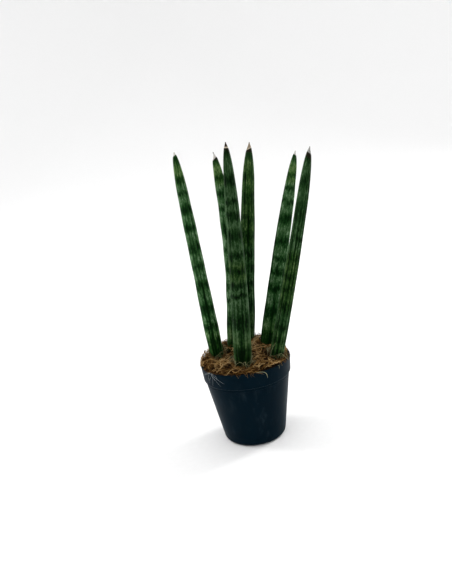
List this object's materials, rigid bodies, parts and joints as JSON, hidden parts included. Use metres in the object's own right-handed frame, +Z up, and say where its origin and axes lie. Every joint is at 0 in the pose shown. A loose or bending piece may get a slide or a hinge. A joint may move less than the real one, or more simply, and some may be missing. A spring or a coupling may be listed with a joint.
{
  "type": "cylindrical snake plant",
  "caption": "Young potted succulent with upright, round, pointed, cross-banded green leaves in a small tapered nursery pot topped with coir.",
  "frame": {"origin": "centre of the pot's flat underside, on the surface that it stands on", "axes": "+Z up along the pot's axis; +Y away from the picture's camera; +X to the picture's right, the side that the leaves lean to"},
  "size_m": [0.078, 0.0563, 0.1773],
  "materials": {
    "pot": "satin injection-moulded plastic",
    "potting_mix": "matte, moist and crumbly",
    "coir_mat": "matte tangled fibre",
    "leaf": "waxy, softly glossy leaf skin"
  },
  "bodies": {
    "root": {"pot": "pot", "potting_mix": "potting_mix", "coir_mat": "coir_mat", "leaf_1": "leaf", "leaf_2": "leaf", "leaf_3": "leaf", "leaf_4": "leaf", "leaf_5": "leaf", "leaf_6": "leaf"}
  },
  "joints": []
}
